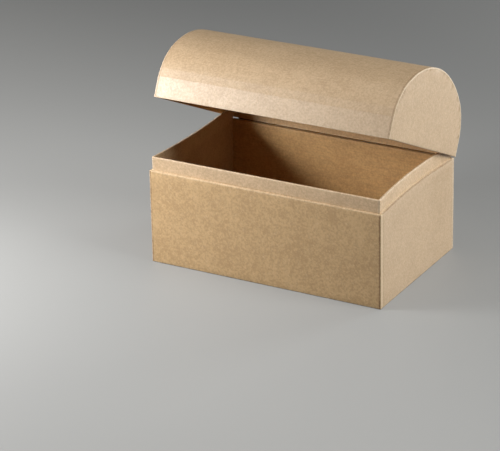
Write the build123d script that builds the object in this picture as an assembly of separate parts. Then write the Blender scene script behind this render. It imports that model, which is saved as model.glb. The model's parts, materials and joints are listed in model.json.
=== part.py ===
"""Domed chest box in greyboard and kraft paper, its lid open on a paper hinge strip.

Millimetres, +Z up, +X to the chest's right, -Y out of its front. The origin is the centre of its underside.
"""
import os
from math import acos, cos, degrees, radians, sin

from build123d import *

os.makedirs("parts", exist_ok=True)

# Stock that every piece is cut from
board = 2.0
paper = 0.3

# Outside of the base, papers included, up to the ledge that the lid closes on
base_width = 300.0
base_depth = 192.5
base_height = 116.0

# How far the two side walls dip inward at the ledge, halfway between front and back
side_bow = 4.5

# Neck: the inner walls that stand above the ledge on the front and both sides
neck_rise = 16.5
neck_tuck = 10.0
neck_corner_turn = 3.0

# Paper turns and fits on the base
corner_turn = 2.4
edge_turn = 12.0
butt_gap = 0.2
board_fit = 0.2
lining_fit = 0.5

# Lid, described closed: a straight band, a scored crease, a tight shoulder and a flatter crown
lid_overhang = 1.15
lid_rest_gap = 0.3
lid_band = 24.5
crease_lean_degrees = 6.1
shoulder_radius = 62.0
shoulder_end_degrees = 51.5
rim_show = 1.5
lid_open_degrees = 25.7

# Paper hinge strip across the back, short of the corners
hinge_setback = 10.0
hinge_leaf = 18.0

# How far a cutting shape runs past what it cuts
overrun = 1.0

# Worked out from the sizes above
wall = paper + board + paper
half_width = base_width / 2
half_depth = base_depth / 2
floor_top = paper + board
neck_top = base_height + neck_rise
neck_half_width = half_width - wall
neck_half_depth = half_depth - wall
bow_reach = neck_half_depth - paper - board
lid_half_width = half_width + lid_overhang
lid_half_depth = half_depth + lid_overhang
lid_rim = base_height + lid_rest_gap
hinge_axis = Axis((0, lid_half_depth, base_height), (-1, 0, 0))

# Lid arcs: the shoulder starts at the crease, and the crown meets it tangent and closes the width
crease_lean = radians(crease_lean_degrees)
shoulder_end = radians(shoulder_end_degrees)
shoulder_y = -lid_half_depth + shoulder_radius * cos(crease_lean)
shoulder_z = lid_rim + lid_band - shoulder_radius * sin(crease_lean)
crown_radius = shoulder_radius - shoulder_y / cos(shoulder_end)
crown_z = shoulder_z - (crown_radius - shoulder_radius) * sin(shoulder_end)


def block(x_low, x_high, y_low, y_high, z_low, z_high):
    """A box between six planes."""
    centre = Pos((x_low + x_high) / 2, (y_low + y_high) / 2, (z_low + z_high) / 2)
    return centre * Box(x_high - x_low, y_high - y_low, z_high - z_low)


def front_sheet(inset, thickness, half_length, z_low, z_high):
    """A flat sheet of the front wall, inset from the outside, centred in X."""
    outer = -half_depth + inset
    return block(-half_length, half_length, outer, outer + thickness, z_low, z_high)


def bow_edges(x, y_low, y_high, z):
    """One face line of the right wall at height z: straight by the corners and a parabola between."""
    bow = side_bow * z / base_height
    start = max(y_low, -bow_reach)
    end = min(y_high, bow_reach)
    middle = (start + end) / 2
    x_start = x - bow * (1 - (start / bow_reach) ** 2)
    x_end = x - bow * (1 - (end / bow_reach) ** 2)
    x_middle = x_start + 2 * bow * start / bow_reach**2 * (middle - start)
    edges = [Bezier((x_start, start, z), (x_middle, middle, z), (x_end, end, z))]
    if y_low < start:
        edges.insert(0, Line((x, y_low, z), (x_start, start, z)))
    if y_high > end:
        edges.append(Line((x_end, end, z), (x, y_high, z)))
    return edges


def right_section(inset, thickness, y_low, y_high, z):
    """The outline of a right wall sheet at height z."""
    outer = bow_edges(half_width - inset, y_low, y_high, z)
    inner = bow_edges(half_width - inset - thickness, y_low, y_high, z)
    front_end = Line(inner[0] @ 0, outer[0] @ 0)
    back_end = Line(outer[-1] @ 1, inner[-1] @ 1)
    return make_face(Wire([front_end, *outer, back_end, *inner]))


def right_sheet(inset, thickness, y_low, y_high, z_low, z_high):
    """A sheet of the right wall, inset from the outside: upright at the corners, dipping inward between."""
    low = right_section(inset, thickness, y_low, y_high, z_low)
    high = right_section(inset, thickness, y_low, y_high, z_high)
    return loft([low, high], ruled=True)


def left_from(right):
    """The left hand twin of a right hand piece."""
    return mirror(right, about=Plane.YZ)


def back_from(front):
    """The back twin of a front piece."""
    return mirror(front, about=Plane.XZ)


def bottom_paper():
    """Paper under the whole base: the face that the chest stands on."""
    return block(-half_width, half_width, -half_depth, half_depth, 0, paper)


def bottom_board():
    """Bottom, let in between the four walls."""
    half_x = half_width - paper - board - board_fit
    half_y = half_depth - paper - board - board_fit
    return block(-half_x, half_x, -half_y, half_y, paper, floor_top)


def front_board():
    """Outer front wall, across the full width."""
    return front_sheet(paper, board, half_width - paper, paper, base_height - paper)


def right_board():
    """Outer right wall, between the front and back boards."""
    half_y = half_depth - paper - board
    return right_sheet(paper, board, -half_y, half_y, paper, base_height - paper)


def front_paper():
    """Cover of the front wall: round both corners, over the top edge and down behind the board."""
    face = front_sheet(0, paper, half_width, paper, base_height - paper)
    top = front_sheet(0, wall, half_width, base_height - paper, base_height)
    flap = front_sheet(paper + board, paper, neck_half_width, base_height - edge_turn, base_height - paper)
    turn = block(half_width - paper, half_width, -half_depth, corner_turn - half_depth, paper, base_height - paper)
    return face + top + flap + turn + left_from(turn)


def right_paper():
    """Cover of the right wall, set in between the turned edges of the front and back papers."""
    face_end = half_depth - corner_turn
    face = right_sheet(0, paper, -face_end, face_end, paper, base_height - paper)
    top = right_sheet(0, wall, -neck_half_depth, neck_half_depth, base_height - paper, base_height)
    flap_low = base_height - edge_turn
    flap = right_sheet(
        paper + board, paper, -neck_half_depth, neck_half_depth, flap_low, base_height - paper
    )
    return face + top + flap


def neck_front_board():
    """Inner front wall, which stands above the ledge."""
    return front_sheet(wall + paper, board, neck_half_width - paper, floor_top, neck_top - paper)


def neck_right_board():
    """Inner right wall, from the inner front wall to the back of the base."""
    back_end = neck_half_depth - paper
    return right_sheet(wall + paper, board, -bow_reach, back_end, floor_top, neck_top - paper)


def neck_front_paper():
    """Cover of the inner front wall, between the side papers' turned strips outside and down to the floor inside."""
    outer_half = neck_half_width - neck_corner_turn - butt_gap
    outer = front_sheet(wall, paper, outer_half, base_height - neck_tuck, neck_top - paper)
    top = front_sheet(wall, wall, neck_half_width, neck_top - paper, neck_top)
    inner_half = neck_half_width - wall - butt_gap
    inner = front_sheet(wall + paper + board, paper, inner_half, floor_top, neck_top - paper)
    return outer + top + inner


def neck_right_paper():
    """Cover of the inner right wall, turned round the front corner and over the wall's back end."""
    low = base_height - neck_tuck
    outer = right_sheet(wall, paper, -neck_half_depth, neck_half_depth, low, neck_top - paper)
    turn_x = neck_half_width - neck_corner_turn
    turn_y = -neck_half_depth
    turn = block(turn_x, neck_half_width, turn_y, turn_y + paper, low, neck_top - paper)
    top = right_sheet(wall, wall, wall - neck_half_depth, neck_half_depth, neck_top - paper, neck_top)
    inner = right_sheet(
        wall + paper + board, paper, -bow_reach, neck_half_depth, floor_top, neck_top - paper
    )
    end_y = neck_half_depth - paper
    end = block(neck_half_width - wall, neck_half_width, end_y, neck_half_depth, base_height, neck_top - paper)
    return outer + turn + top + inner + end


def back_liner_board():
    """Inner back wall, which ends level with the ledge so that the lid can swing."""
    half_x = neck_half_width - wall - board_fit
    back = neck_half_depth
    return block(-half_x, half_x, back - board, back, floor_top, base_height - paper)


def back_liner_paper():
    """Cover of the inner back wall and of its top edge."""
    half_x = neck_half_width - wall - board_fit
    front = neck_half_depth - board - paper
    face = block(-half_x, half_x, front, front + paper, floor_top, base_height - paper)
    top = block(-half_x, half_x, front, neck_half_depth, base_height - paper, base_height)
    return face + top


def floor_lining():
    """Paper lining on the bottom board, inside the inner walls."""
    half_x = neck_half_width - wall - lining_fit
    front = wall + lining_fit - neck_half_depth
    back = neck_half_depth - board - paper - lining_fit
    return block(-half_x, half_x, front, back, floor_top, floor_top + paper)


def hinge_strip_lower():
    """Half of the hinge strip, pasted on the base's back."""
    half_x = half_width - hinge_setback
    return block(-half_x, half_x, half_depth, half_depth + paper, base_height - hinge_leaf, base_height)


def shoulder_point(radius, angle):
    """A point of the front shoulder arc, the angle measured up from level."""
    return (shoulder_y - radius * cos(angle), shoulder_z + radius * sin(angle))


def lid_outline(inset, z_bottom):
    """The lid's end view as a face on the YZ plane, drawn in by inset and cut level at z_bottom."""
    half = lid_half_depth - inset
    radius = shoulder_radius - inset
    lean = acos((shoulder_radius * cos(crease_lean) - inset) / radius)
    crease = shoulder_point(radius, lean)
    bend = shoulder_point(radius, (lean + shoulder_end) / 2)
    join = shoulder_point(radius, shoulder_end)
    top = (0, crown_z + crown_radius - inset)
    far_crease, far_bend, far_join = [(-y, z) for y, z in (crease, bend, join)]
    edges = [
        Line((-half, z_bottom), crease),
        ThreePointArc(crease, bend, join),
        ThreePointArc(join, top, far_join),
        ThreePointArc(far_join, far_bend, far_crease),
        Line(far_crease, (half, z_bottom)),
        Line((half, z_bottom), (-half, z_bottom)),
    ]
    return Plane.YZ * make_face(edges)


def lid_slab(inset, z_bottom, x_low, x_high):
    """A solid of the lid's end view between two X planes."""
    return Pos(x_low, 0, 0) * extrude(lid_outline(inset, z_bottom), x_high - x_low)


def lid_sheet(inset, thickness, z_bottom, x_low, x_high):
    """A sheet that follows the lid's bands and arch, open below."""
    outer = lid_slab(inset, z_bottom, x_low, x_high)
    inner = lid_slab(inset + thickness, z_bottom - overrun, x_low - overrun, x_high + overrun)
    return outer - inner


def lid_cover_board():
    """The scored and bent board: front band, arch and back band in one sheet."""
    half_x = lid_half_width - paper
    return lid_sheet(paper, board, lid_rim + paper, -half_x, half_x)


def lid_cover_paper():
    """Cover of the bent board, turned over its ends and under its two lower edges."""
    skin = lid_sheet(0, paper, lid_rim, -lid_half_width, lid_half_width)
    end_rim = lid_sheet(0, rim_show, lid_rim, lid_half_width - paper, lid_half_width)
    under_half = lid_half_width - paper
    under = block(
        -under_half, under_half, -lid_half_depth, wall - lid_half_depth, lid_rim, lid_rim + paper
    )
    return skin + end_rim + left_from(end_rim) + under + back_from(under)


def lid_right_end_board():
    """D shaped end board inside the bent board."""
    outer = lid_half_width - paper
    return lid_slab(paper + board, lid_rim + paper, outer - board, outer)


def lid_right_end_paper():
    """D shaped end cover, inside the turned rim of the cover paper, turned under the end board's lower edge."""
    face = lid_slab(rim_show + butt_gap, lid_rim, lid_half_width - paper, lid_half_width)
    half_y = lid_half_depth - wall
    under = block(
        lid_half_width - wall, lid_half_width - paper, -half_y, half_y, lid_rim, lid_rim + paper
    )
    return face + under


def lid_lining():
    """Paper lining under the bands and the arch."""
    half_x = lid_half_width - wall
    return lid_sheet(paper + board, paper, lid_rim + paper, -half_x, half_x)


def lid_right_end_lining():
    """D shaped lining on the inner face of the end board."""
    outer = lid_half_width - paper - board
    return lid_slab(paper + board, lid_rim + paper, outer - paper, outer)


def hinge_strip_upper():
    """Half of the hinge strip, pasted on the lid's back band."""
    half_x = half_width - hinge_setback
    return block(-half_x, half_x, lid_half_depth, lid_half_depth + paper, lid_rim, lid_rim + hinge_leaf)


base_pieces = {
    "bottom_paper": bottom_paper(),
    "bottom_board": bottom_board(),
    "front_board": front_board(),
    "back_board": back_from(front_board()),
    "right_board": right_board(),
    "left_board": left_from(right_board()),
    "front_paper": front_paper(),
    "back_paper": back_from(front_paper()),
    "right_paper": right_paper(),
    "left_paper": left_from(right_paper()),
    "neck_front_board": neck_front_board(),
    "neck_right_board": neck_right_board(),
    "neck_left_board": left_from(neck_right_board()),
    "neck_front_paper": neck_front_paper(),
    "neck_right_paper": neck_right_paper(),
    "neck_left_paper": left_from(neck_right_paper()),
    "back_liner_board": back_liner_board(),
    "back_liner_paper": back_liner_paper(),
    "floor_lining": floor_lining(),
    "hinge_strip_lower": hinge_strip_lower(),
}

lid_pieces = {
    "lid_cover_board": lid_cover_board(),
    "lid_cover_paper": lid_cover_paper(),
    "lid_right_end_board": lid_right_end_board(),
    "lid_left_end_board": left_from(lid_right_end_board()),
    "lid_right_end_paper": lid_right_end_paper(),
    "lid_left_end_paper": left_from(lid_right_end_paper()),
    "lid_lining": lid_lining(),
    "lid_right_end_lining": lid_right_end_lining(),
    "lid_left_end_lining": left_from(lid_right_end_lining()),
    "hinge_strip_upper": hinge_strip_upper(),
}

for name, piece in base_pieces.items():
    export_step(piece, f"parts/{name}.step")

for name, piece in lid_pieces.items():
    export_step(piece.rotate(hinge_axis, lid_open_degrees), f"parts/{name}.step")

print("crown radius", round(crown_radius, 2))
print("closed height", round(crown_z + crown_radius, 2))
print("hinge axis at y", lid_half_depth, "z", base_height)
print("crease at", round(degrees(crease_lean), 1), "degrees from upright")
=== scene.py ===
# %% [markdown]
# # A domed chest in kraft board
# The real chest is greyboard cut into flat panels, pasted into a case and covered with brown kraft paper.
# The frame already holds every board and paper at its real size, so this notebook only dresses it: each
# cover paper becomes a soft-edged sheet, and every surface gets the mottle and fibres of kraft.
# The other way would be to bevel the CAD solids themselves, but they are loose triangles, and a new sheet
# built from a few folds gives cleaner edges.

# %% Load the frame
import json
from math import acos, cos, pi, radians, sin

import bmesh
import bpy
from mathutils import Matrix, Vector, noise
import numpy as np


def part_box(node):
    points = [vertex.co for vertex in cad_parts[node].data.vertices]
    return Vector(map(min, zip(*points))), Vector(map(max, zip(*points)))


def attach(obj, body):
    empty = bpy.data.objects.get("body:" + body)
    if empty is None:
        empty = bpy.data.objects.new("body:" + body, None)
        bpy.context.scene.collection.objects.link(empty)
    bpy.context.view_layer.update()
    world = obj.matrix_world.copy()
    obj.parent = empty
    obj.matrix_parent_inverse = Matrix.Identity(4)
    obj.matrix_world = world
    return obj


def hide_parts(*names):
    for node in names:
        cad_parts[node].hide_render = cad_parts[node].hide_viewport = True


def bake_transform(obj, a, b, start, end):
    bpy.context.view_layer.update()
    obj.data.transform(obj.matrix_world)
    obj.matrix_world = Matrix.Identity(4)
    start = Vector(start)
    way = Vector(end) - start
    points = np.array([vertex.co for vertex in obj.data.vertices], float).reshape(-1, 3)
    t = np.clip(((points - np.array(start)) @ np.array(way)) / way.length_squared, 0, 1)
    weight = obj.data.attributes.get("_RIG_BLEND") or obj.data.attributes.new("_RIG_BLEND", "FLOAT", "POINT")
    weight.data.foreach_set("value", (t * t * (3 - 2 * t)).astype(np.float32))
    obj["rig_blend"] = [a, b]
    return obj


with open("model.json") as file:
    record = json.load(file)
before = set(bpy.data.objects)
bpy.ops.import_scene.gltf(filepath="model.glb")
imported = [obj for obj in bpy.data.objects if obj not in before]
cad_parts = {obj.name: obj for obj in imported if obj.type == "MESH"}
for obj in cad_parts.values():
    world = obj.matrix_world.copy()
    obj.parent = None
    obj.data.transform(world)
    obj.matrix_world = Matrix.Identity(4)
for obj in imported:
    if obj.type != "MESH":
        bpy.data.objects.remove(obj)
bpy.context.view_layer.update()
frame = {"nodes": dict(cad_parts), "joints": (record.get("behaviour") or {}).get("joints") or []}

# %% [markdown]
# ## Sizes
# Everything the dressing needs is measured from the CAD pieces: the outside of the base, the ledge that the
# lid closes on, the paper and wall thickness, and the neck that stands above the ledge. Only the lid's arcs,
# some small gaps and the dip of the side walls can't be read from a box, so they are repeated here as named
# lengths in metres.

# %% Measure the base
MM = 1000.0
front_low, front_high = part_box("front_paper")
neck_low, neck_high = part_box("neck_front_paper")
half_width = front_high.x
half_depth = -front_low.y
ledge = front_high.z
paper = front_low.z
wall = front_high.y - front_low.y
board = wall - 2 * paper
neck_half_width = neck_high.x
neck_half_depth = -neck_low.y
neck_top = neck_high.z
neck_overlap = 0.010
neck_bottom = ledge - neck_overlap
floor_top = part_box("floor_lining")[0].z
side_bow = 0.0045
bow_reach = neck_half_depth - paper - board
paper_gap = 0.00015
print("base", 2 * half_width, 2 * half_depth, "ledge", ledge, "neck top", neck_top, "wall", wall)

# %% Measure the lid and its hinge
hinge_joint = frame["joints"][0]
hinge = Vector(hinge_joint["pos_m"])
lid_open = radians(-hinge_joint["range_deg"][0])
lid_turn = Matrix.Rotation(-lid_open, 3, "X")
lid_half_depth = hinge.y
lid_half_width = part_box("lid_cover_paper")[1].x
lid_gap = 0.0003
lid_rim = ledge + lid_gap
lid_band = 0.0245
band_top = lid_rim + lid_band
crease_lean = radians(6.1)
shoulder_radius = 0.062
shoulder_end = radians(51.5)
rim_show = 0.0015
shoulder_y = -lid_half_depth + shoulder_radius * cos(crease_lean)
shoulder_z = band_top - shoulder_radius * sin(crease_lean)
crown_radius = shoulder_radius - shoulder_y / cos(shoulder_end)
crown_z = shoulder_z - (crown_radius - shoulder_radius) * sin(shoulder_end)
lid_top = crown_z + crown_radius
print("lid", 2 * lid_half_width, 2 * lid_half_depth, "closed top", lid_top)

# %% [markdown]
# ## From a flat sheet to a pasted cover
# Real covers are cut flat, then folded over the board's edges. The fold isn't a knife edge: paper rounds it
# to a little under a millimetre. A larger radius would let the board's square edge poke through. So each
# sheet starts as a chain of a few vertices or a cube with its hidden faces deleted, and its folds are
# bevelled. Cuts across the sheet then give it enough points to warp softly.

# %% Folds
fold_radius = 0.0009
fold_segments = 3
bend_at_least = 0.05


def made_verts(made):
    """The vertices that an operator returned."""
    return [item for item in made["geom"] if isinstance(item, bmesh.types.BMVert)]


def is_bent(edge):
    """True where a sheet turns."""
    return len(edge.link_faces) == 2 and edge.calc_face_angle(0.0) > bend_at_least


def bent_edges(bm):
    """The edges where a sheet turns."""
    return [edge for edge in bm.edges if is_bent(edge)]


def round_folds(bm, folds, radius=fold_radius, segments=fold_segments):
    """Rounds these fold lines."""
    bmesh.ops.bevel(
        bm, geom=folds, offset=radius, offset_type="OFFSET", segments=segments, profile=0.5,
        affect="EDGES", material=-1, clamp_overlap=True,
    )


def folded_sheet(section, run):
    """An open sheet: the section's points, run along one vector, with its folds rounded."""
    bm = bmesh.new()
    chain = [bm.verts.new(point) for point in section]
    edges = [bm.edges.new(pair) for pair in zip(chain, chain[1:])]
    made = bmesh.ops.extrude_edge_only(bm, edges=edges)
    bmesh.ops.translate(bm, verts=made_verts(made), vec=run)
    round_folds(bm, bent_edges(bm))
    return bm


def solid_block(low, high):
    """A bmesh box between two corners."""
    bm = bmesh.new()
    bmesh.ops.create_cube(bm, size=1.0)
    bmesh.ops.scale(bm, verts=bm.verts, vec=Vector(high) - Vector(low))
    bmesh.ops.translate(bm, verts=bm.verts, vec=(Vector(high) + Vector(low)) / 2)
    return bm


print("folds rounded to", fold_radius * MM, "mm")

# %% Choosing and cutting
rounding = 1e-6
merge_distance = 1e-7
facing = 0.5
cut_step = 0.010
fold_margins = (0.0020,)
seam_margins = (0.0020, 0.0028)


def near(value, target):
    """True where two lengths are equal, but for rounding."""
    return abs(value - target) < rounding


def drop_faces(bm, test):
    """Deletes the faces that pass the test."""
    bmesh.ops.delete(bm, geom=[face for face in bm.faces if test(face)], context="FACES")


def edges_at(bm, test):
    """The edges whose two vertices both pass the test."""
    return [edge for edge in bm.edges if all(test(vert.co) for vert in edge.verts)]


def cut_across(bm, axis, places):
    """Cuts the whole sheet at these places along one axis (0 is X, 1 is Y, 2 is Z)."""
    normal = Vector((0, 0, 0))
    normal[axis] = 1
    for place in places:
        everything = bm.verts[:] + bm.edges[:] + bm.faces[:]
        bmesh.ops.bisect_plane(
            bm, geom=everything, dist=merge_distance, plane_co=normal * place, plane_no=normal
        )


def even_places(low, high, step=cut_step, margins=fold_margins):
    """Places a step apart, with more close to each end, which keep a fold's shading narrow."""
    count = round((high - low) / step)
    between = [low + (high - low) * i / count for i in range(1, count)]
    return [low + m for m in margins] + between + [high - m for m in reversed(margins)]


print("cuts every", cut_step * MM, "mm")

# %% [markdown]
# ## Soft warps, worn folds and pressed seams
# Pasted paper is never dead flat: board swells a little where the paste was wet. A slow noise moves the
# points a few tenths of a millimetre along their normals. It leaves the folds alone, so that the covers stay
# closed, and the faces that meet when the lid shuts.
#
# Folds are also where kraft rubs pale, so each point keeps a "fold" value that the material reads. It comes
# from the angle between neighbouring faces, which is large only on a rounded fold. Two more values are set
# by place. The seam value darkens the raw edges where sheets meet, and it is also painted shade: lines beside
# folds, along the foot, under the ledge, inside the neck and in the hinge's slit. The turned value pales
# the strips turned round a corner, and paints a highlight on the ledge. Marks on the points follow the
# sheet when it moves, which a pattern in space would not.

# %% Marks
fold_starts = 0.14
fold_full = 0.40
foot_height = 0.0006


def mark_folds(bm):
    """Stores on each vertex how sharply the sheet turns there, from 0 to 1."""
    layer = bm.verts.layers.float.new("fold")
    for vert in bm.verts:
        turns = [edge.calc_face_angle(0.0) for edge in vert.link_edges if len(edge.link_faces) == 2]
        sharpest = max(turns, default=0.0)
        vert[layer] = min(1.0, max(0.0, (sharpest - fold_starts) / (fold_full - fold_starts)))


def mark_points(bm, name, test, value=1.0):
    """Stores the value under this name on the vertices that pass the test, and leaves the others."""
    layer = bm.verts.layers.float.get(name)
    if layer is None:
        layer = bm.verts.layers.float.new(name)
    for vert in bm.verts:
        if test(vert.co):
            vert[layer] = value


def at_foot(co):
    """True on the rounded lower fold, where the base meets the floor."""
    return co.z < paper + foot_height


def on_ledge(co):
    """True on the ledge that the lid closes on."""
    return near(co.z, ledge)


def beside_fold(place, fold):
    """True on the flat strip next to a fold that lies at this distance from the middle."""
    return fold - seam_margins[0] - merge_distance < abs(place) < fold - fold_radius + rounding


print("foot line up to", (paper + foot_height) * MM, "mm")

# %% Warp and thickness
warp_height = 0.00035
warp_length = 0.07


def warp_sheet(bm, height, seed):
    """Swells the open stretches outward by up to height, in slow waves, but not where the lid closes."""
    layer = bm.verts.layers.float["fold"]
    bm.normal_update()
    rim = {vert for edge in bm.edges if edge.is_boundary for vert in edge.verts}
    for vert in bm.verts:
        closing = ledge - paper < vert.co.z < lid_rim + paper
        if vert in rim or vert[layer] > 0 or closing:
            continue
        wave = noise.noise(vert.co / warp_length + Vector((seed, seed, seed)))
        vert.co += vert.normal * height * (0.5 + 0.5 * wave)


def thicken(bm, thickness=paper):
    """Gives the sheet its paper thickness, inward from the face that shows."""
    bmesh.ops.solidify(bm, geom=bm.faces[:], thickness=thickness)


print("warps up to", warp_height * MM, "mm on sheets", paper * MM, "mm thick")

# %% [markdown]
# ## Naming, shading and riding
# One function turns a finished bmesh into a piece: it recalculates the normals outwards, shades it smooth
# up to the sheet's raw edges, gives it a material, hangs it on the body it rides on, and hides the CAD
# nodes it stands for. Left hand pieces are made as right hand ones and mirrored.

# %% Make a piece
sharp_from = radians(42)


def make_piece(name, bm, body, material, stands_for):
    """Puts a bmesh into the scene as a piece of the chest."""
    bmesh.ops.recalc_face_normals(bm, faces=bm.faces[:])
    mesh = bpy.data.meshes.new(name)
    bm.to_mesh(mesh)
    bm.free()
    mesh.materials.append(material)
    mesh.shade_smooth()
    mesh.set_sharp_from_angle(angle=sharp_from)
    piece = bpy.data.objects.new(name, mesh)
    bpy.context.scene.collection.objects.link(piece)
    if body:
        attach(piece, body)
    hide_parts(*stands_for)
    print("made", name, "with", len(mesh.polygons), "faces")
    return piece


def turn_to_back(bm):
    """Turns a front piece half way round, so that it covers the back."""
    bmesh.ops.rotate(bm, verts=bm.verts, cent=(0, 0, 0), matrix=Matrix.Rotation(pi, 3, "Z"))


def turn_to_left(bm):
    """Mirrors a right hand piece into the left hand one."""
    bmesh.ops.scale(bm, verts=bm.verts, vec=(-1, 1, 1))
    bmesh.ops.reverse_faces(bm, faces=bm.faces[:])


def bow_inward(bm):
    """Pushes a right wall's points inward: nothing at the floor and corners, most halfway along the top."""
    for vert in bm.verts:
        share = max(0.0, 1 - (vert.co.y / bow_reach) ** 2)
        vert.co.x -= side_bow * share * vert.co.z / ledge


print("edges stay sharp from", sharp_from, "radians, side walls dip", side_bow * MM, "mm")

# %% [markdown]
# ## Kraft paper, once, as a node group
# Up close kraft is a felt of fibres: slow cloudy blotches, millimetre mottle, a few dark bark flecks, pale
# straw fibres lying every way, and faint machine streaks. All of it is noise on Object coordinates scaled to
# millimetres, so it has no seams. The group puts out a tone, three masks and a height. Each paper then mixes
# its own colours with them.

# %% Node helpers


def new_socket(tree, name, direction, kind):
    """One named input or output of a node group."""
    tree.interface.new_socket(name=name, in_out=direction, socket_type=kind)


def add_node(tree, kind, inputs, **settings):
    """A node with its settings, and its inputs set to values or linked to sockets."""
    node = tree.nodes.new(kind)
    for key, value in settings.items():
        setattr(node, key, value)
    for key, value in inputs.items():
        if isinstance(value, bpy.types.NodeSocket):
            tree.links.new(value, node.inputs[key])
        else:
            node.inputs[key].default_value = value
    return node


def combine(tree, operation, first, second):
    """One math operation on two values or sockets."""
    return add_node(tree, "ShaderNodeMath", {0: first, 1: second}, operation=operation).outputs[0]


def noise_of(tree, vector, grain, stretch=(1, 1, 1), turn=(0, 0, 0)):
    """Noise with a grain of (features per millimetre, detail), stretched and turned as the fibres lie."""
    scale, detail = grain
    mapped = add_node(
        tree, "ShaderNodeMapping", {"Vector": vector, "Scale": stretch, "Rotation": turn},
        vector_type="TEXTURE",
    )
    made = add_node(
        tree, "ShaderNodeTexNoise", {"Vector": mapped.outputs[0], "Scale": scale * MM, "Detail": detail}
    )
    return made.outputs["Fac"]


def band_of(tree, value, low, high):
    """0 below low, 1 above high, smooth between."""
    node = add_node(
        tree, "ShaderNodeMapRange", {"Value": value, "From Min": low, "From Max": high},
        interpolation_type="SMOOTHSTEP",
    )
    return node.outputs[0]


# %% Grains of kraft
layer_grains = {"blotch": (0.03, 2.0), "cloud": (0.13, 3.0), "mottle": (0.42, 4.0), "grain": (1.5, 3.0)}
streak_grain = (0.55, 3.0)
streak_levels = (0.35, 0.65)
fibre_grain = (1.1, 2.0)
fibre_stretch = (9.0, 1.0, 1.0)
fibre_turns = ((0.4, 0.9, 0.3), (1.3, 0.2, 1.9), (2.4, 1.1, 0.7))
fibre_levels = (0.63, 0.72)
fleck_grain = (0.75, 2.0)
fleck_stretch = (1.8, 1.0, 1.0)
fleck_levels = (0.70, 0.78)
tone_weights = {"blotch": 0.15, "cloud": 0.15, "mottle": 0.42, "grain": 0.12, "streak": 0.16}
relief_weights = {"mottle": 0.90, "grain": 0.20}
fibre_relief = 0.08
print("features per millimetre:", {name: grain[0] for name, grain in layer_grains.items()})

# %% The kraft group


def weighted_sum(tree, layers, weights, start):
    """The layers times their weights, added to a start value."""
    total = start
    for name, weight in weights.items():
        total = combine(tree, "ADD", combine(tree, "MULTIPLY", layers[name], weight), total)
    return total


def build_kraft_group():
    """Blotch, mottle, flecks, fibres and streaks of kraft paper."""
    tree = bpy.data.node_groups.new("kraft_fibres", "ShaderNodeTree")
    new_socket(tree, "Vector", "INPUT", "NodeSocketVector")
    new_socket(tree, "Streak", "INPUT", "NodeSocketVector")
    for name in ("Tone", "Streaks", "Dark fleck", "Pale fibre", "Height"):
        new_socket(tree, name, "OUTPUT", "NodeSocketFloat")
    inside = tree.nodes.new("NodeGroupInput")
    outside = tree.nodes.new("NodeGroupOutput")
    vector = inside.outputs["Vector"]
    drawn = add_node(
        tree, "ShaderNodeVectorMath", {0: vector, 1: inside.outputs["Streak"]}, operation="MULTIPLY"
    )
    layers = {name: noise_of(tree, vector, grain) for name, grain in layer_grains.items()}
    layers["streak"] = noise_of(tree, drawn.outputs[0], streak_grain)
    fibres = 0.0
    for turn in fibre_turns:
        strand = noise_of(tree, vector, fibre_grain, fibre_stretch, turn)
        fibres = combine(tree, "MAXIMUM", band_of(tree, strand, *fibre_levels), fibres)
    fleck = noise_of(tree, vector, fleck_grain, fleck_stretch, fibre_turns[1])
    raised = combine(tree, "MULTIPLY", fibres, fibre_relief)
    results = {
        "Tone": weighted_sum(tree, layers, tone_weights, 0.0),
        "Streaks": band_of(tree, layers["streak"], *streak_levels),
        "Dark fleck": band_of(tree, fleck, *fleck_levels),
        "Pale fibre": fibres,
        "Height": weighted_sum(tree, layers, relief_weights, raised),
    }
    for name, socket in results.items():
        tree.links.new(socket, outside.inputs[name])
    return tree


kraft_group = build_kraft_group()
print("kraft group nodes:", len(kraft_group.nodes))

# %% [markdown]
# ## The papers and the board
# Seven finishes share the group. The outer cover comes twice, because its machine streaks run up the back
# and over the lid, and level along the sides. The front sheet is painted warmer, standing in for warm light
# bounced up onto it, and the neck is painted a shade paler, standing in for light bounced onto it from the
# lid. The lining is painted redder and lighter, standing in for the warm light inside the chest, and it is
# more streaked and duller too. The hinge strip is a plain dull tape, and the raw greyboard core is greyer
# and coarser.
#
# Machine glazed kraft has a soft wide highlight, so the outer papers' roughness is in the middle and their
# gloss above the default. The colour is built in layers: the cloudy tone first, then streaks, flecks and
# fibres, then the marks stored on the mesh. The tone also breaks up the worn places, the dark joints and the
# painted highlight and shade, so that none of them is even.

# %% Colour of a paper
mix_inputs = (6, 7)
mix_output = 2
dim_share = 0.45
fleck_strength = 0.55
fibre_strength = 0.20
break_levels = (0.34, 0.56)
rub_strength = 0.20
turned_strength = 0.40
# How strongly the seam colour goes in: it darkens raw joints and paints shade.
seam_and_shade_full = 0.62
seam_and_shade_broken = 0.22


def mix_colour(tree, factor, first, second):
    """A blend of two colours, whose sockets follow the node's sockets for numbers and vectors."""
    node = add_node(
        tree, "ShaderNodeMix", {"Factor": factor}, data_type="RGBA", blend_type="MIX", clamp_factor=True
    )
    for key, value in zip(mix_inputs, (first, second)):
        if isinstance(value, bpy.types.NodeSocket):
            tree.links.new(value, node.inputs[key])
        else:
            node.inputs[key].default_value = (*value, 1.0)
    return node.outputs[mix_output]


def read_mark(tree, mark):
    """The value that the mesh stores on its points under this name."""
    node = add_node(tree, "ShaderNodeAttribute", {}, attribute_type="GEOMETRY", attribute_name=mark)
    return node.outputs["Fac"]


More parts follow.
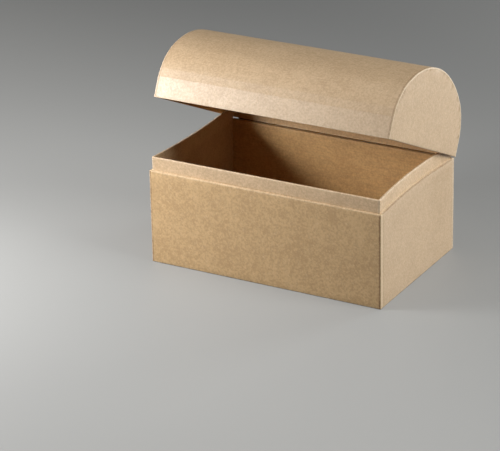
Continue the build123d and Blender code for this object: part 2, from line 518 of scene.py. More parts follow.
def kraft_colour(tree, kraft, tone, marks, colours, streaks):
    """The base colour from dark, pale, worn and seam colours, also painted highlight and shade."""
    dark, pale, worn_and_highlight, seam_and_painted_shade = colours
    dimmed = [channel * dim_share for channel in dark]
    breaks = band_of(tree, kraft.outputs["Tone"], *break_levels)
    rubbed = combine(tree, "MULTIPLY", marks["fold"], breaks)
    seam_and_shade_mix = combine(tree, "SUBTRACT", seam_and_shade_full, combine(tree, "MULTIPLY", breaks, seam_and_shade_broken))
    colour = mix_colour(tree, tone, dark, pale)
    for mask, strength, over in (
        (kraft.outputs["Streaks"], streaks, dimmed),
        (kraft.outputs["Dark fleck"], fleck_strength, dimmed),
        (kraft.outputs["Pale fibre"], fibre_strength, worn_and_highlight),
        (rubbed, rub_strength, worn_and_highlight),
        (marks["turned"], turned_strength, worn_and_highlight),
        (marks["seam_and_painted_shade"], seam_and_shade_mix, seam_and_painted_shade),
    ):
        colour = mix_colour(tree, combine(tree, "MULTIPLY", mask, strength), colour, over)
    return colour


print("worn folds rub in at", rub_strength, "and turned strips at", turned_strength)

# %% Paper material
streak_up = (1.0, 0.06, 0.06)
streak_level = (0.06, 0.06, 1.0)
tone_middle = 0.5
polish_of_pale = -0.10
rougher_marks = {"fold": 0.20, "seam_and_painted_shade": 0.30}
felt_height = 0.0004
paper_ior = 1.55


def paper_material(
    name, colours, streak, contrast=0.135, streaks=0.10, relief=0.60, roughness=0.50, gloss=0.85
):
    """Kraft in dark, pale, worn and seam colours. A smaller contrast value gives a harder mottle."""
    material = bpy.data.materials.new(name)
    material.use_nodes = True
    tree = material.node_tree
    tree.nodes.clear()
    coordinates = tree.nodes.new("ShaderNodeTexCoord")
    kraft = add_node(tree, "ShaderNodeGroup", {}, node_tree=kraft_group)
    tree.links.new(coordinates.outputs["Object"], kraft.inputs["Vector"])
    kraft.inputs["Streak"].default_value = streak
    tone = band_of(tree, kraft.outputs["Tone"], tone_middle - contrast, tone_middle + contrast)
    marks = {mark: read_mark(tree, mark) for mark in ("fold", "turned", "seam_and_painted_shade")}
    rough = combine(tree, "ADD", combine(tree, "MULTIPLY", tone, polish_of_pale), roughness)
    bump = add_node(
        tree, "ShaderNodeBump",
        {"Strength": relief, "Distance": felt_height, "Height": kraft.outputs["Height"]},
    )
    shader = add_node(tree, "ShaderNodeBsdfPrincipled", {
        "Base Color": kraft_colour(tree, kraft, tone, marks, colours, streaks),
        "Roughness": weighted_sum(tree, marks, rougher_marks, rough),
        "Normal": bump.outputs[0], "IOR": paper_ior, "Specular IOR Level": gloss,
    })
    surface = tree.nodes.new("ShaderNodeOutputMaterial")
    tree.links.new(shader.outputs[0], surface.inputs["Surface"])
    print("finish", name, "with", len(tree.nodes), "nodes")
    return material


# %% Seven finishes
# Pale worn kraft, also used as the painted highlight on the ledge.
kraft_worn_and_painted_highlight = (0.800, 0.675, 0.495)
# Dark brown for raw joints and for painted shade.
kraft_seam_and_painted_shade = (0.190, 0.095, 0.035)
outer_colours = ((0.445, 0.300, 0.168), (0.580, 0.412, 0.250), kraft_worn_and_painted_highlight, kraft_seam_and_painted_shade)
# The front is painted warmer, standing in for warm light bounced up onto it.
front_colours_painted_bounce = ((0.455, 0.282, 0.122), (0.595, 0.388, 0.184), kraft_worn_and_painted_highlight, kraft_seam_and_painted_shade)
# The neck is painted a shade paler, standing in for light bounced onto it from the lid.
neck_colours_painted_lighter = ((0.498, 0.333, 0.183), (0.650, 0.457, 0.272), kraft_worn_and_painted_highlight, kraft_seam_and_painted_shade)
# The lining is painted redder and lighter, standing in for the warm light inside the chest.
lining_colours_painted_warm = ((0.540, 0.308, 0.118), (0.720, 0.440, 0.182), (0.780, 0.560, 0.310), kraft_seam_and_painted_shade)
# The tape's last colour is the painted shade of the hinge's slit.
tape_colours = ((0.400, 0.265, 0.140), (0.500, 0.345, 0.195), (0.680, 0.520, 0.340), (0.250, 0.115, 0.024))
board_colours = ((0.270, 0.235, 0.190), (0.390, 0.345, 0.285), (0.520, 0.470, 0.400), (0.14, 0.12, 0.10))

cover_kraft = paper_material("kraft_cover", outer_colours, streak_up, contrast=0.105, relief=0.75)
front_kraft = paper_material("kraft_front", front_colours_painted_bounce, streak_up, contrast=0.080, relief=0.85)
neck_kraft = paper_material("kraft_neck", neck_colours_painted_lighter, streak_up, contrast=0.105, relief=0.75)
side_kraft = paper_material("kraft_side", outer_colours, streak_level, contrast=0.150)
lining_kraft = paper_material(
    "kraft_lining", lining_colours_painted_warm, streak_level,
    contrast=0.115, streaks=0.26, relief=0.50, roughness=0.62, gloss=0.45,
)
hinge_kraft = paper_material(
    "hinge_paper", tape_colours, streak_level, contrast=0.16, relief=0.40, roughness=0.62, gloss=0.10
)
grey_core = paper_material(
    "greyboard", board_colours, streak_level, relief=0.70, roughness=0.90, gloss=0.30
)

# %% [markdown]
# ## Front and back covers
# The front sheet wraps both upright corners and the ledge. A folded chain can't close a corner where three
# folds meet, so this one starts as a cube with its hidden faces deleted: front, two narrow returns, the ledge
# and the turn under the base are left, and bevelling all their shared edges rounds the corners in one go.
# The returns are the light strips that show on the sides. A line of painted shade runs beside each upright
# fold, and the back's corners are painted a little darker, which dulls their highlight.

# %% Parts of a corner cover
corner_turn = 0.0050
return_starts = fold_radius - half_depth
below_ledge_fold = ledge - fold_radius
level_from = 0.9


def behind_turn(face):
    """True for the parts of the ledge and the underside that lie behind the board's edge."""
    middle = face.calc_center_median()
    level = abs(face.normal.z) > level_from
    return level and abs(middle.x) < half_width - wall and middle.y > wall - half_depth


def beside_corner(co):
    """True on the flat strip of the front beside an upright corner."""
    return beside_fold(co.x, half_width) and co.y < return_starts and co.z < below_ledge_fold


def on_return(co):
    """True on the flat of a return."""
    return co.y > return_starts - rounding and near(abs(co.x), half_width)


def round_corner(co):
    """True on an upright corner's fold and return, up to the return's raw edge."""
    outer = abs(co.x) > half_width - fold_radius + rounding
    return outer and co.y < corner_turn - half_depth - merge_distance and co.z < below_ledge_fold


print("returns", corner_turn * MM, "mm wide")

# %% Front and back
# A line of painted shade beside each upright corner.
painted_corner_shade = 1.4
# A painted contact shadow along the foot.
painted_foot_shadow = 1.7
# A painted highlight on the ledge's top, where it catches the light.
painted_ledge_highlight = 0.55
# The back's corners are painted darker, which dulls their highlight.
painted_back_corner_shade = 0.7


def corner_cover(seed):
    """The front cover: a face with returns round both corners, over the ledge and under the base."""
    bm = solid_block((-half_width, -half_depth, paper), (half_width, corner_turn - half_depth, ledge))
    drop_faces(bm, lambda face: face.normal.y > facing)
    round_folds(bm, bent_edges(bm))
    cut_across(bm, 0, even_places(-half_width, half_width, margins=seam_margins))
    cut_across(bm, 0, [wall - half_width, half_width - wall])
    cut_across(bm, 1, [wall - half_depth])
    cut_across(bm, 2, even_places(paper, ledge))
    drop_faces(bm, behind_turn)
    mark_folds(bm)
    mark_points(bm, "seam_and_painted_shade", beside_corner, painted_corner_shade)
    mark_points(bm, "seam_and_painted_shade", at_foot, painted_foot_shadow)
    mark_points(bm, "turned", on_return)
    mark_points(bm, "turned", on_ledge, painted_ledge_highlight)
    warp_sheet(bm, warp_height, seed)
    return bm


front_bm = corner_cover(seed=1.7)
thicken(front_bm)
make_piece("front_cover_paper", front_bm, "base", front_kraft, ["front_paper"])

back_bm = corner_cover(seed=5.2)
mark_points(back_bm, "seam_and_painted_shade", round_corner, painted_back_corner_shade)
turn_to_back(back_bm)
thicken(back_bm)
make_piece("back_cover_paper", back_bm, "base", cover_kraft, ["back_paper"])

# %% [markdown]
# ## Side covers
# Each side paper is set in between the returns of the front and back, and goes over the ledge too. The side
# walls dip inward, most at the top and halfway back, which shows as the curved top edge. The sheet is made
# flat, then every point is pushed inward along a parabola. Its raw upright edges get a thin dark line, the
# fold below the ledge a line of painted shade, and the ledge above it a painted highlight.

# %% Sides
joint_seam = 0.45
# A line of painted shade on the fold under the ledge.
painted_ledge_fold_shade = 1.1
side_start = corner_turn + paper_gap - half_depth


def on_side_edge(co):
    """True on the raw edges beside the returns."""
    return near(abs(co.y), -side_start)


def under_ledge(co):
    """True on the outer fold of the ledge, but for its innermost row."""
    return co.z > below_ledge_fold - rounding and co.x > half_width - fold_radius + rounding


def side_cover(seed):
    """The right cover, turned over the ledge and under the base, between the returns."""
    inner = half_width - wall
    section = [(inner, paper), (half_width, paper), (half_width, ledge), (inner, ledge)]
    bm = folded_sheet([(x, side_start, z) for x, z in section], (0, -2 * side_start, 0))
    cut_across(bm, 1, even_places(side_start, -side_start))
    cut_across(bm, 2, even_places(paper, ledge))
    mark_folds(bm)
    mark_points(bm, "seam_and_painted_shade", on_side_edge, joint_seam)
    mark_points(bm, "seam_and_painted_shade", at_foot, painted_foot_shadow)
    mark_points(bm, "seam_and_painted_shade", under_ledge, painted_ledge_fold_shade)
    mark_points(bm, "turned", on_ledge, painted_ledge_highlight)
    warp_sheet(bm, warp_height, seed)
    bow_inward(bm)
    return bm


for side, seed in (("right", 2.9), ("left", 8.4)):
    side_bm = side_cover(seed)
    if side == "left":
        turn_to_left(side_bm)
    thicken(side_bm)
    make_piece(f"{side}_cover_paper", side_bm, "base", side_kraft, [f"{side}_paper"])

# %% [markdown]
# ## Underside
# The sheet under the base closes the case. It is one flat piece with slightly softened edges, set in a little
# from the rounded lower folds, which leaves the thin shadow line that the chest stands on.

# %% Bottom paper
bottom_soft = 0.00012
bottom_segments = 2
bottom_inset = 0.0016
bottom_corner = Vector((half_width - bottom_inset, half_depth - bottom_inset, 0))
bottom_bm = solid_block(-bottom_corner, bottom_corner + Vector((0, 0, paper)))
round_folds(bottom_bm, bottom_bm.edges[:], bottom_soft, bottom_segments)
cut_across(bottom_bm, 0, even_places(-bottom_corner.x, bottom_corner.x, 2 * cut_step))
cut_across(bottom_bm, 1, even_places(-bottom_corner.y, bottom_corner.y, 2 * cut_step))
make_piece("bottom_cover_paper", bottom_bm, "base", cover_kraft, ["bottom_paper"])

# %% [markdown]
# ## The neck
# Three inner walls stand above the ledge and guide the lid. One sheet covers each: up the outside, over the
# top and down to the floor inside. The side sheets also turn round the front corners, which leaves the
# narrow strip that can be seen at each end of the front neck. Like the base, a side sheet starts as a cube,
# because three folds meet at its front corner. Below the ledge its inner face is painted with faint shade.

# %% Front neck cover
neck_warp = warp_height / 2


def front_neck_cover(seed):
    """The cover of the front neck, between the strips of the side covers."""
    half = neck_half_width - wall - paper_gap
    outer = -neck_half_depth
    inner = wall - neck_half_depth
    section = [(outer, neck_bottom), (outer, neck_top), (inner, neck_top), (inner, floor_top)]
    bm = folded_sheet([(-half, y, z) for y, z in section], (2 * half, 0, 0))
    cut_across(bm, 0, even_places(-half, half))
    cut_across(bm, 2, even_places(floor_top, neck_top))
    mark_folds(bm)
    warp_sheet(bm, neck_warp, seed)
    return bm


front_neck_bm = front_neck_cover(seed=3.3)
thicken(front_neck_bm)
make_piece("front_neck_cover", front_neck_bm, "base", neck_kraft, ["neck_front_paper"])

# %% Side neck covers
strip_pale = 0.3
# Faint painted shade on the inner face below the ledge.
painted_inside_shade = 0.25
neck_inner = neck_half_width - wall


def on_front_strip(co):
    """True on the strip that shows beside the front neck."""
    return near(co.y, -neck_half_depth)


def inside_wall(co):
    """True on the inner face, below the ledge."""
    return co.x < neck_inner + rounding and co.z < ledge


def side_neck_cover(seed):
    """The cover of the right neck: turned round its front corner, over its top and down to the floor."""
    corner = wall - neck_half_depth
    lowest = (neck_inner, -neck_half_depth, neck_bottom)
    bm = solid_block(lowest, (neck_half_width, neck_half_depth, neck_top))
    cut_across(bm, 1, [corner])
    drop_faces(bm, lambda face: face.normal.z < -facing)
    drop_faces(bm, lambda face: face.normal.x < -facing and face.calc_center_median().y < corner)
    round_folds(bm, bent_edges(bm))
    inside_low = edges_at(bm, lambda co: near(co.x, neck_inner) and near(co.z, neck_bottom))
    made = bmesh.ops.extrude_edge_only(bm, edges=inside_low)
    for vert in made_verts(made):
        vert.co.z = floor_top
    cut_across(bm, 2, [ledge])
    drop_faces(bm, lambda face: face.normal.y > facing and face.calc_center_median().z < ledge)
    cut_across(bm, 1, even_places(-neck_half_depth, neck_half_depth))
    cut_across(bm, 2, even_places(floor_top, neck_top))
    mark_folds(bm)
    mark_points(bm, "turned", on_front_strip, strip_pale)
    mark_points(bm, "seam_and_painted_shade", inside_wall, painted_inside_shade)
    warp_sheet(bm, neck_warp, seed)
    bow_inward(bm)
    return bm


for side, seed in (("right", 4.1), ("left", 6.6)):
    neck_bm = side_neck_cover(seed)
    if side == "left":
        turn_to_left(neck_bm)
    thicken(neck_bm)
    make_piece(f"{side}_neck_cover", neck_bm, "base", neck_kraft, [f"neck_{side}_paper"])

# %% [markdown]
# ## Back liner and floor
# The inner back wall stops level with the ledge, so that the lid can swing. Its lining turns over the top.
# The floor lining is a plain sheet, a little short of the walls.

# %% Back liner and floor lining
liner_low, liner_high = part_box("back_liner_paper")
lining_low, lining_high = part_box("floor_lining")
lining_squares = (30, 20)


def back_liner(seed):
    """The lining of the inner back wall, turned over its top edge."""
    section = [(liner_low.y, floor_top), (liner_low.y, ledge), (liner_high.y, ledge)]
    bm = folded_sheet([(liner_low.x, y, z) for y, z in section], (liner_high.x - liner_low.x, 0, 0))
    cut_across(bm, 0, even_places(liner_low.x, liner_high.x))
    cut_across(bm, 2, even_places(floor_top, ledge))
    mark_folds(bm)
    warp_sheet(bm, neck_warp, seed)
    return bm


def flat_lining(low, high, seed):
    """A level sheet between two corners, softly cockled. It starts as a square with sides of 1."""
    bm = bmesh.new()
    bmesh.ops.create_grid(bm, x_segments=lining_squares[0], y_segments=lining_squares[1], size=1 / 2)
    bmesh.ops.scale(bm, verts=bm.verts, vec=(high.x - low.x, high.y - low.y, 1))
    bmesh.ops.translate(bm, verts=bm.verts, vec=((high.x + low.x) / 2, (high.y + low.y) / 2, high.z))
    mark_folds(bm)
    warp_sheet(bm, neck_warp, seed)
    return bm


liner_bm = back_liner(seed=7.5)
thicken(liner_bm)
make_piece("back_liner_cover", liner_bm, "base", lining_kraft, ["back_liner_paper"])

lining_bm = flat_lining(lining_low, lining_high, seed=9.1)
thicken(lining_bm)
make_piece("floor_lining_paper", lining_bm, "base", lining_kraft, ["floor_lining"])

# %% [markdown]
# ## The lid's outline
# Seen from its end the lid is a straight band, a scored crease, a tight shoulder, a flatter crown and the
# same again behind. The outline starts as one vertex at the rim. It is extruded up the band, then spun round
# each arc's centre in turn, which keeps every arc a true one. The board stays nearly flat for the first
# centimetre beside its score line, so each shoulder starts with one straight step. The lid is made closed
# and swung open at the end.

# %% Outline by extrude and spin
flat_angle = radians(9.5)
shoulder_steps = 10
crown_steps = 20


def lift(bm, vert, rise):
    """Extrudes a vertex along a vector, and returns the new one."""
    made = bmesh.ops.extrude_vert_indiv(bm, verts=[vert])
    bmesh.ops.translate(bm, verts=made["verts"], vec=rise)
    return made["verts"][0]


def swing(bm, vert, centre, angle, steps):
    """Spins a vertex over the lid, from front to back, and returns the last one."""
    made = bmesh.ops.spin(
        bm, geom=[vert], cent=centre, axis=(-1, 0, 0), dvec=(0, 0, 0), angle=angle, steps=steps,
        use_duplicate=False, use_merge=False,
    )
    return [item for item in made["geom_last"] if isinstance(item, bmesh.types.BMVert)][0]


def lid_outline(bm, inset, z_low, x):
    """The lid's end outline as a chain from the front rim to the back rim, and its two end vertices."""
    half = lid_half_depth - inset
    radius = shoulder_radius - inset
    lean = acos((shoulder_radius * cos(crease_lean) - inset) / radius)
    crease_z = shoulder_z + radius * sin(lean)
    round_angle = shoulder_end - lean - flat_angle
    first = bm.verts.new((x, -half, z_low))
    last = lift(bm, first, (0, 0, crease_z - z_low))
    for centre_y, angle, steps in (
        (shoulder_y, flat_angle, 1),
        (shoulder_y, round_angle, shoulder_steps),
        (0, pi - 2 * shoulder_end, crown_steps),
        (-shoulder_y, round_angle, shoulder_steps),
        (-shoulder_y, flat_angle, 1),
    ):
        centre_z = shoulder_z if centre_y else crown_z
        last = swing(bm, last, (x, centre_y, centre_z), angle, steps)
    last = lift(bm, last, (0, 0, z_low - crease_z))
    return first, last


print("flat beside the crease", shoulder_radius * flat_angle * MM, "mm")

# %% Inward and open


def inward(point):
    """The direction from a point of the closed lid's outline towards its inside."""
    side = -1 if point.y > 0 else 1
    if point.z < band_top:
        return Vector((0, side, 0))
    join_y = -shoulder_y + shoulder_radius * cos(shoulder_end)
    if abs(point.y) > join_y:
        centre = Vector((point.x, side * shoulder_y, shoulder_z))
    else:
        centre = Vector((point.x, 0, crown_z))
    return (centre - point).normalized()


def open_lid(bm):
    """Swings the finished piece from closed to the rest pose."""
    bmesh.ops.rotate(bm, verts=bm.verts, cent=hinge, matrix=lid_turn)


print("the lid stands", lid_open, "radians open at rest")

# %% [markdown]
# ## The lid's cover
# One long sheet runs under the front edge, up the band, over the arch and down to the back edge. Its ends
# turn in as a narrow rim round each D. The rim is an extrude of the end edges, moved towards the inside of
# the outline. The crease is a score line in the board, so its fold is tighter than the others. Cuts close
# beside it and at the end of the flat keep its shading crisp, because smooth shading would otherwise spread
# the bend over the whole band.

# %% Ends and folds of the lid cover
crease_radius = 0.0004
crease_segments = 2


def at_lid_face(co):
    """True on the outer faces of the front and back bands."""
    return near(abs(co.y), lid_half_depth)


def turn_in_ends(bm):
    """Extrudes the sheet's two ends inward, as the rim round each D."""
    for x in (-lid_half_width, lid_half_width):
        outline = edges_at(
            bm, lambda co: near(co.x, x) and (co.z > lid_rim + merge_distance or at_lid_face(co))
        )
        rim = bmesh.ops.extrude_edge_only(bm, edges=outline)
        for vert in made_verts(rim):
            vert.co += inward(vert.co) * rim_show


def round_lid_folds(bm):
    """Rounds the tight creases first, then the lower edges and the ends."""
    along = [edge for edge in edges_at(bm, at_lid_face) if len(edge.link_faces) == 2]
    along = [edge for edge in along if near(edge.verts[0].co.z, edge.verts[1].co.z)]
    creases = [edge for edge in along if edge.verts[0].co.z > lid_rim + lid_band / 2]
    round_folds(bm, creases, crease_radius, crease_segments)
    rims = [
        edge for edge in edges_at(bm, lambda co: at_lid_face(co) and near(co.z, lid_rim))
        if len(edge.link_faces) == 2
    ]
    ends = [edge for edge in edges_at(bm, lambda co: near(abs(co.x), lid_half_width)) if is_bent(edge)]
    round_folds(bm, ends + [edge for edge in rims if edge not in ends])


print("crease rounded to", crease_radius * MM, "mm")

# %% Lid cover
crease_margin = 0.0009
flat_margin = 0.0020
flat_end = shoulder_z + shoulder_radius * sin(crease_lean + flat_angle)


def lid_cover(seed):
    """The cover of the bands and the arch, turned under its edges and round its ends."""
    bm = bmesh.new()
    first, last = lid_outline(bm, 0, lid_rim, -lid_half_width)
    for vert, step in ((first, wall), (last, -wall)):
        lift(bm, vert, (0, step, 0))
    made = bmesh.ops.extrude_edge_only(bm, edges=bm.edges[:])
    bmesh.ops.translate(bm, verts=made_verts(made), vec=(2 * lid_half_width, 0, 0))
    turn_in_ends(bm)
    round_lid_folds(bm)
    cut_across(bm, 0, even_places(-lid_half_width, lid_half_width, margins=seam_margins))
    cut_across(bm, 2, [lid_rim + m for m in fold_margins])
    cut_across(bm, 2, [band_top - crease_margin, band_top + crease_margin, flat_end - flat_margin])
    mark_folds(bm)
    above_rim_fold = lid_rim + fold_radius
    # A line of painted shade on the arch beside each turned-in rim.
    mark_points(bm, "seam_and_painted_shade", lambda co: beside_fold(co.x, lid_half_width) and co.z > above_rim_fold)
    mark_points(bm, "turned", lambda co: near(abs(co.x), lid_half_width))
    warp_sheet(bm, warp_height, seed)
    return bm


lid_bm = lid_cover(seed=10.3)
open_lid(lid_bm)
thicken(lid_bm)
make_piece("lid_cover_wrap", lid_bm, "lid", cover_kraft, ["lid_cover_paper"])

# %% [markdown]
# ## The D shaped ends
# Each end is a flat D inside the turned rim. The outline is drawn again, a little smaller, filled as one
# face, inset for a pressed border, cut into a grid so that it can cockle very slightly, and folded under the
# end board. The fill may face either way, so it is turned to look to the right: the sheet gets its thickness
# on the far side of that face, and on the wrong side it would cut into the ledge when the lid shuts.

# %% Lid ends
end_gap = 0.0002
end_recess = 0.0001
border = 0.0008
end_warp = 0.0001
place_digits = 6


def fill_end(bm, ends):
    """Closes an outline across the mouth and fills it with one face that looks to the right."""
    bm.edges.new(ends)
    bmesh.ops.contextual_create(bm, geom=bm.edges[:])
    bm.normal_update()
    bmesh.ops.reverse_faces(bm, faces=[face for face in bm.faces if face.normal.x < 0])


def lid_end(seed):
    """The right D, turned under its lower edge."""
    bm = bmesh.new()
    fill_end(bm, lid_outline(bm, rim_show + end_gap, lid_rim, lid_half_width - end_recess))
    outline = {vert.co.to_tuple(place_digits) for vert in bm.verts}
    bmesh.ops.inset_region(bm, faces=bm.faces[:], thickness=border, use_even_offset=True)
    lower = edges_at(bm, lambda co: near(co.z, lid_rim))
    turned = bmesh.ops.extrude_edge_only(bm, edges=lower)
    for vert in made_verts(turned):
        vert.co.x -= board
        vert.co.y *= (lid_half_depth - wall - end_gap) / abs(vert.co.y)
    round_folds(bm, [edge for edge in lower if len(edge.link_faces) == 2])
    cut_across(bm, 1, even_places(-lid_half_depth, lid_half_depth, margins=()))
    cut_across(bm, 2, even_places(lid_rim, lid_top))
    mark_folds(bm)
    above_rim_fold = lid_rim + fold_radius
    mark_points(bm, "seam_and_painted_shade", lambda co: co.to_tuple(place_digits) in outline and co.z > above_rim_fold)
    warp_sheet(bm, end_warp, seed)
    return bm


for side, seed in (("right", 11.8), ("left", 13.6)):
    end_bm = lid_end(seed)
    if side == "left":
        turn_to_left(end_bm)
    open_lid(end_bm)
    thicken(end_bm)
    make_piece(f"{side}_end_cover", end_bm, "lid", side_kraft, [f"lid_{side}_end_paper"])

# %% [markdown]
# ## Inside the lid
# The lining follows the board's inner face, and a D of lining closes each end. They show through the open
# mouth, so they get the same grain as the rest. They are drawn on the board's face and thickened inward.

# %% Lid linings
lining_rim = lid_rim + paper
lining_half = lid_half_width - wall


def lid_lining():
    """The lining under the bands and the arch."""
    bm = bmesh.new()
    lid_outline(bm, wall, lining_rim, -lining_half)
    made = bmesh.ops.extrude_edge_only(bm, edges=bm.edges[:])
    bmesh.ops.translate(bm, verts=made_verts(made), vec=(2 * lining_half, 0, 0))
    cut_across(bm, 0, even_places(-lining_half, lining_half))
    return bm


def lid_end_lining():
    """The right D of lining."""
    bm = bmesh.new()
    fill_end(bm, lid_outline(bm, wall - paper, lining_rim, lining_half))
    cut_across(bm, 1, even_places(-lid_half_depth, lid_half_depth, margins=()))
    cut_across(bm, 2, even_places(lid_rim, lid_top))
    return bm


arch_bm = lid_lining()
open_lid(arch_bm)
thicken(arch_bm, -paper)
make_piece("lid_arch_lining", arch_bm, "lid", lining_kraft, ["lid_lining"])

for side in ("right", "left"):
    end_bm = lid_end_lining()
    if side == "left":
        turn_to_left(end_bm)
    open_lid(end_bm)
    thicken(end_bm, -paper)
    make_piece(f"{side}_end_lining", end_bm, "lid", lining_kraft, [f"lid_{side}_end_lining"])

# %% [markdown]
# ## The paper hinge
# Nothing but a strip of paper holds the lid. It is pasted on the back of the base, bridges the small step out
# to the lid's edge, and is pasted on the lid's back band. Two CAD strips stand for its halves, and here it is
# one sheet that bends: close cuts in the free stretch let it curl when the lid swings. Its inner side is seen
# only through the slit below the lid, in shade, as a dark brown line, so that side gets strong painted shade.

# %% Hinge strip
strip_low, strip_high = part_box("hinge_strip_lower")
strip_leaf = strip_high.z - strip_low.z
free_below = 0.0035
free_above = 0.0015
bend_step = 0.0006
# The hinge's inner side is painted dark, as the shade in the slit.
painted_slit_shade = 4.0
inner_facing = -0.3


def on_open_lid(y, z):
    """A point given on the closed lid, at rest."""
    return hinge + lid_turn @ (Vector((0, y, z)) - hinge)


lid_face = lid_half_depth + paper
base_end = Vector((0, strip_high.y, ledge - free_below))
lid_start = on_open_lid(lid_face, lid_rim + free_above)
lid_end_point = on_open_lid(lid_face, lid_rim + strip_leaf)


def hinge_strip():
    """The strip, from the base's back over the step to the lid's back band."""
    section = [Vector((0, strip_high.y, strip_low.z)), base_end, lid_start, lid_end_point]
    to_left_end = Vector((strip_low.x, 0, 0))
    bm = folded_sheet([point + to_left_end for point in section], (strip_high.x - strip_low.x, 0, 0))
    count = round((lid_start.z - base_end.z) / bend_step)
    cut_across(bm, 2, [base_end.z + (lid_start.z - base_end.z) * i / count for i in range(count + 1)])
    cut_across(bm, 0, even_places(strip_low.x, strip_high.x, margins=()))
    return bm


strip_bm = hinge_strip()
thicken(strip_bm)
strip_bm.normal_update()
inner_faces = [face for face in strip_bm.faces if face.normal.y < inner_facing]
inner_side = {vert.co.to_tuple(place_digits) for face in inner_faces for vert in face.verts}
mark_points(strip_bm, "seam_and_painted_shade", lambda co: co.to_tuple(place_digits) in inner_side, painted_slit_shade)
strip = make_piece(
    "hinge_strip", strip_bm, None, hinge_kraft, ["hinge_strip_lower", "hinge_strip_upper"]
)
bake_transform(strip, "base", "lid", start=base_end, end=lid_start)
print("hinge strip", strip_leaf * 2, "wide, free between z", base_end.z, "and", lid_start.z)

# %% [markdown]
# ## Boards
# The boards keep their CAD shape. They only need the raw greyboard finish, which shows at the fine gaps
# between the papers.

# %% Board finish
for name, node in frame["nodes"].items():
    node.data.materials.clear()
    node.data.materials.append(grey_core)
print("boards finished:", sum(name.endswith("board") for name in frame["nodes"]))

# %% [markdown]
# ## Studio
# A plain pale floor that darkens behind the chest, and five square softboxes. Two stand low on the left, a
# small near one and a larger one further off: the near one makes the band bright at its left end, and the
# far one keeps the right end from going dark. A broad fill on the right lights the ends, a low one behind
# picks out the back of the arch, and a weak one hangs overhead. A pale floor would also throw too much light
# up on the chest, so the floor is pale only for rays from the camera and for reflections, and darker for
# bounced light. The camera is a long lens, far back, which keeps upright edges nearly parallel.

# %% Floor
floor_half = 6.0
floor_grey = (0.17, 0.17, 0.166)
floor_roughness = 0.6
glow_near = (0.235, 0.233, 0.225)
glow_far = (0.052, 0.052, 0.051)
floor_bounce = 0.16
fade_across = Vector((0.40, 0.92, 0))
fade_from = -0.40
fade_to = 0.65


def studio_floor_material():
    """A pale floor whose glow falls off behind the chest, and which is darker for bounced light."""
    material = bpy.data.materials.new("studio_floor")
    material.use_nodes = True
    tree = material.node_tree
    tree.nodes.clear()
    coordinates = tree.nodes.new("ShaderNodeTexCoord")
    along = add_node(
        tree, "ShaderNodeVectorMath", {0: coordinates.outputs["Object"], 1: fade_across},
        operation="DOT_PRODUCT",
    )
    fade = band_of(tree, along.outputs["Value"], fade_from, fade_to)
    seen = add_node(tree, "ShaderNodeBsdfPrincipled", {
        "Base Color": (*floor_grey, 1), "Roughness": floor_roughness,
        "Emission Color": mix_colour(tree, fade, glow_near, glow_far), "Emission Strength": 1.0,
    })
    bounced = add_node(
        tree, "ShaderNodeBsdfDiffuse", {"Color": (floor_bounce, floor_bounce, floor_bounce, 1)}
    )
    path = tree.nodes.new("ShaderNodeLightPath")
    direct = combine(tree, "MAXIMUM", path.outputs["Is Camera Ray"], path.outputs["Is Glossy Ray"])
    direct = combine(tree, "MAXIMUM", direct, path.outputs["Is Transmission Ray"])
    mixed = add_node(tree, "ShaderNodeMixShader", {0: direct, 1: bounced.outputs[0], 2: seen.outputs[0]})
    surface = tree.nodes.new("ShaderNodeOutputMaterial")
    tree.links.new(mixed.outputs[0], surface.inputs["Surface"])
    return material


floor_bm = bmesh.new()
bmesh.ops.create_grid(floor_bm, x_segments=1, y_segments=1, size=floor_half)
floor_mesh = bpy.data.meshes.new("studio_floor")
floor_bm.to_mesh(floor_mesh)
floor_bm.free()
floor_mesh.materials.append(studio_floor_material())
studio_floor = bpy.data.objects.new("studio_floor", floor_mesh)
bpy.context.scene.collection.objects.link(studio_floor)
print("floor", 2 * floor_half, "m across")

# %% Lights
object_centre = Vector((0, 0, 0.12))
white = (1.0, 1.0, 1.0)
cool_white = (0.98, 1.0, 1.0)
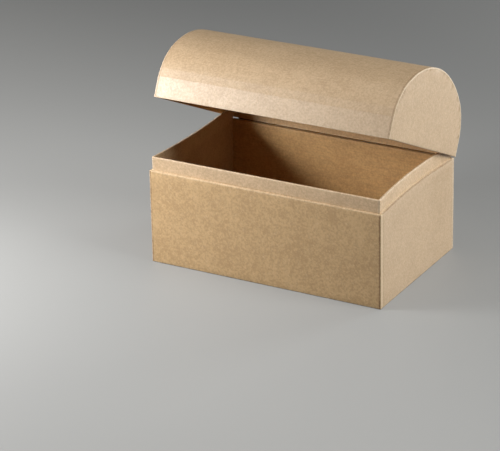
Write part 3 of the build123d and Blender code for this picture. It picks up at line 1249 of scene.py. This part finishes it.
# Each softbox has a name, a place, a side in metres, a power in watts and a colour.
softboxes = (
    ("key", (-0.505, -0.354, 0.326), 0.24, 3.18, white),
    ("key_far", (-0.741, -0.579, 0.462), 0.36, 6.8, white),
    ("fill", (1.658, 0.0, 1.238), 0.9, 31.5, cool_white),
    ("rim", (0.985, 1.706, 0.467), 0.7, 28.5, cool_white),
    ("overhead", (0.0, 0.0, 2.2), 1.0, 5.8, white),
)
room_level = 0.022

for name, place, size, power, colour in softboxes:
    lamp = bpy.data.lights.new(name, "AREA")
    lamp.shape = "SQUARE"
    lamp.size = size
    lamp.energy = power
    lamp.color = colour
    holder = bpy.data.objects.new(name, lamp)
    holder.location = place
    holder.rotation_mode = "QUATERNION"
    holder.rotation_quaternion = (Vector(place) - object_centre).to_track_quat("Z", "Y")
    bpy.context.scene.collection.objects.link(holder)

world = bpy.data.worlds.new("studio")
world.use_nodes = True
world.node_tree.nodes["Background"].inputs["Color"].default_value = (*white, 1.0)
world.node_tree.nodes["Background"].inputs["Strength"].default_value = room_level
bpy.context.scene.world = world
print("softboxes:", len(softboxes))

# %% Camera
azimuth = radians(29.54)
elevation = radians(23.35)
distance = 3.1713
look_at = Vector((-0.0916, 0.0353, 0.0064))
roll = radians(-1.214)
focal_pixels = 2625.3
picture_width = 500
sensor = 36.0
far_clip = 50

camera_data = bpy.data.cameras.new("camera")
camera_data.sensor_width = sensor
camera_data.lens = focal_pixels * sensor / picture_width
camera_data.clip_end = far_clip
camera = bpy.data.objects.new("camera", camera_data)
back = Vector((sin(azimuth) * cos(elevation), -cos(azimuth) * cos(elevation), sin(elevation)))
right = Vector((0, 0, 1)).cross(back).normalized()
up = back.cross(right)
right_rolled = right * cos(roll) + up * sin(roll)
up_rolled = up * cos(roll) - right * sin(roll)
turn = Matrix((right_rolled, up_rolled, back)).transposed()
camera.matrix_world = Matrix.Translation(look_at + back * distance) @ turn.to_4x4()
bpy.context.scene.collection.objects.link(camera)
bpy.context.scene.camera = camera
bpy.context.scene.view_settings.view_transform = "Standard"
print("camera at", camera.location)
